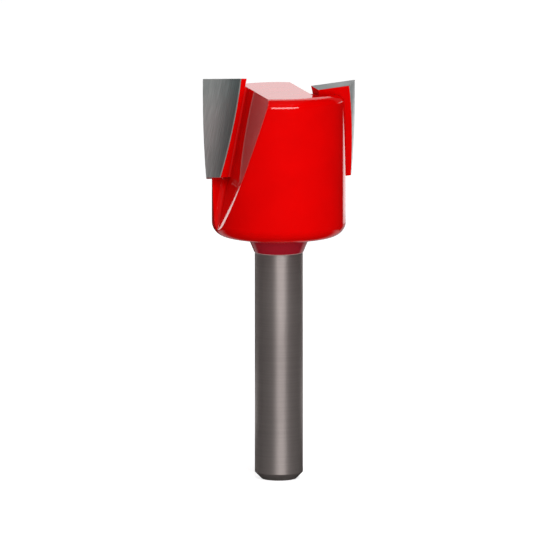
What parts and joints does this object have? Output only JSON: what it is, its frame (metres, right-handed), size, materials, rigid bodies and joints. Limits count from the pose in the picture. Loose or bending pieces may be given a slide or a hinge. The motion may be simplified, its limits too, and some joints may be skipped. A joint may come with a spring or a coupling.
{
  "type": "router bit",
  "caption": "Straight router bit: a quarter-inch shank, a wide painted head cut by leaning flutes, and a carbide tip brazed into each flute.",
  "frame": {"origin": "centre of the shank's flat end", "axes": "+Z along the shank towards the cutting end; the cutting corner of one tip is close to +X, that of the other close to -X"},
  "size_m": [0.02, 0.0176, 0.0531],
  "materials": {
    "painted_steel": "gloss red paint on the head, bare ground steel on the shank",
    "carbide": "ground",
    "silver_solder": "satin"
  },
  "bodies": {
    "root": {"body": "painted_steel", "carbide_tip_1": "carbide", "carbide_tip_2": "carbide", "braze_1": "silver_solder", "braze_2": "silver_solder"}
  },
  "joints": []
}
